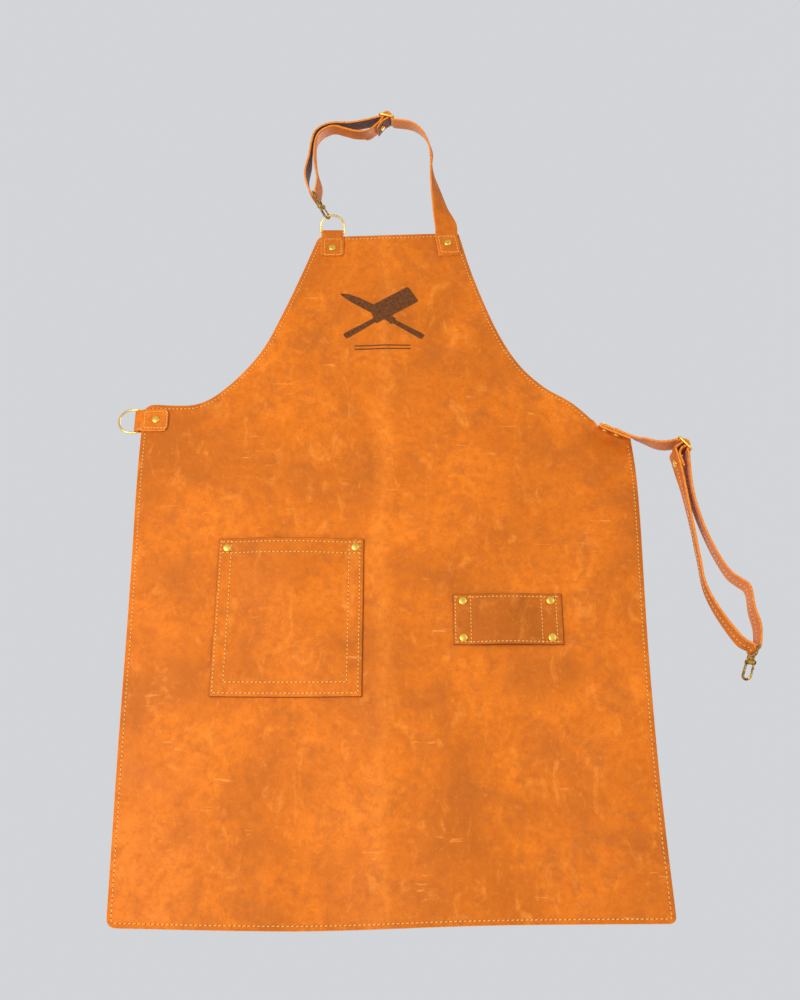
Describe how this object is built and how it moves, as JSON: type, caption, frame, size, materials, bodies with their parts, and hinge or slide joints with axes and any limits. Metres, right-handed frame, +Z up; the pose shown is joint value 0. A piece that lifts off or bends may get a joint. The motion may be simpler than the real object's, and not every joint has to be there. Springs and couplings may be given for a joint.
{
  "type": "butcher apron",
  "caption": "Tan leather butcher apron with a bib, patch pocket, tool loop, brass rivets, and neck and waist straps that clip to D-rings with sprung snap hooks.",
  "frame": {"origin": "the point inside the top of the neck strap, beside its adjuster, where the apron hangs from a peg", "axes": "+Z up along the hanging apron, +Y out of its back, +X towards the side with the waist strap (the viewer's right)"},
  "size_m": [0.762, 0.0398, 1.0711],
  "materials": {
    "leather": "matte oiled full-grain",
    "brass": "polished"
  },
  "bodies": {
    "neck_loop": {"neck_strap": "leather", "neck_slide": "brass", "neck_eye": "brass", "bib_d_ring": "brass", "neck_fold_rivet_cap": "brass", "neck_fold_rivet_back": "brass"},
    "apron": {"apron_panel": "leather", "patch_pocket": "leather", "tool_loop": "leather", "bib_ring_tab": "leather", "waist_ring_tab": "leather", "neck_strap_end": "leather", "waist_strap_end": "leather", "pocket_rivet_1_cap": "brass", "pocket_rivet_1_back": "brass", "pocket_rivet_2_cap": "brass", "pocket_rivet_2_back": "brass", "tool_loop_rivet_1_cap": "brass", "tool_loop_rivet_1_back": "brass", "tool_loop_rivet_2_cap": "brass", "tool_loop_rivet_2_back": "brass", "tool_loop_rivet_3_cap": "brass", "tool_loop_rivet_3_back": "brass", "tool_loop_rivet_4_cap": "brass", "tool_loop_rivet_4_back": "brass", "bib_tab_rivet_cap": "brass", "bib_tab_rivet_back": "brass", "waist_tab_rivet_cap": "brass", "waist_tab_rivet_back": "brass", "neck_end_rivet_cap": "brass", "neck_end_rivet_back": "brass", "waist_end_rivet_1_cap": "brass", "waist_end_rivet_1_back": "brass", "waist_end_rivet_2_cap": "brass", "waist_end_rivet_2_back": "brass"},
    "waist_ring": {"waist_d_ring": "brass"},
    "neck_hook_body": {"neck_hook": "brass", "neck_gate_pin": "brass"},
    "neck_gate_lever": {"neck_gate": "brass"},
    "waist_tie": {"waist_strap": "leather", "waist_slide": "brass", "waist_fold_rivet_cap": "brass", "waist_fold_rivet_back": "brass"},
    "waist_eye_loop": {"waist_eye": "brass"},
    "waist_hook_body": {"waist_hook": "brass", "waist_gate_pin": "brass"},
    "waist_gate_lever": {"waist_gate": "brass"}
  },
  "joints": [
    {"name": "apron_swing", "type": "hinge", "parent": "neck_loop", "child": "apron", "pos_m": [-0.0898, 0.0136, -0.174], "axis": [1, 0, 0], "range_deg": [-28, 20]},
    {"name": "waist_ring_turn", "type": "hinge", "parent": "apron", "child": "waist_ring", "pos_m": [-0.3263, 0.0136, -0.458], "axis": [0, 0, 1], "range_deg": [-80, 80]},
    {"name": "waist_strap_flex", "type": "hinge", "parent": "apron", "child": "waist_tie", "pos_m": [0.28549, -0.00205, -0.48673], "axis": [-0.1726, -0.9063, -0.3858], "range_deg": [-12, 60]},
    {"name": "waist_eye_swing", "type": "hinge", "parent": "waist_tie", "child": "waist_eye_loop", "pos_m": [0.4025, 0, -0.7535], "axis": [0, -1, 0], "range_deg": [-50, 60]},
    {"name": "waist_swivel", "type": "hinge", "parent": "waist_eye_loop", "child": "waist_hook_body", "pos_m": [0.39854, 0, -0.76376], "axis": [0.36, 0, 0.933], "continuous": true},
    {"name": "waist_gate_hinge", "type": "hinge", "parent": "waist_hook_body", "child": "waist_gate_lever", "pos_m": [0.39949, -0.00325, -0.77034], "axis": [0.6594, 0.7074, -0.2544], "range_deg": [0, 25], "stiffness_Nm_per_rad": 0.03, "springref_deg": -20.05},
    {"name": "neck_swivel", "type": "hinge", "parent": "neck_loop", "child": "neck_hook_body", "pos_m": [-0.10786, 0.00053, -0.13471], "axis": [-0.467, -0.048, 0.883], "range_deg": [-8, 8]},
    {"name": "neck_gate_hinge", "type": "hinge", "parent": "neck_hook_body", "child": "neck_gate_lever", "pos_m": [-0.10239, 0.00409, -0.13819], "axis": [-0.6478, 0.6982, -0.3047], "range_deg": [0, 25], "stiffness_Nm_per_rad": 0.03, "springref_deg": -20.05}
  ]
}
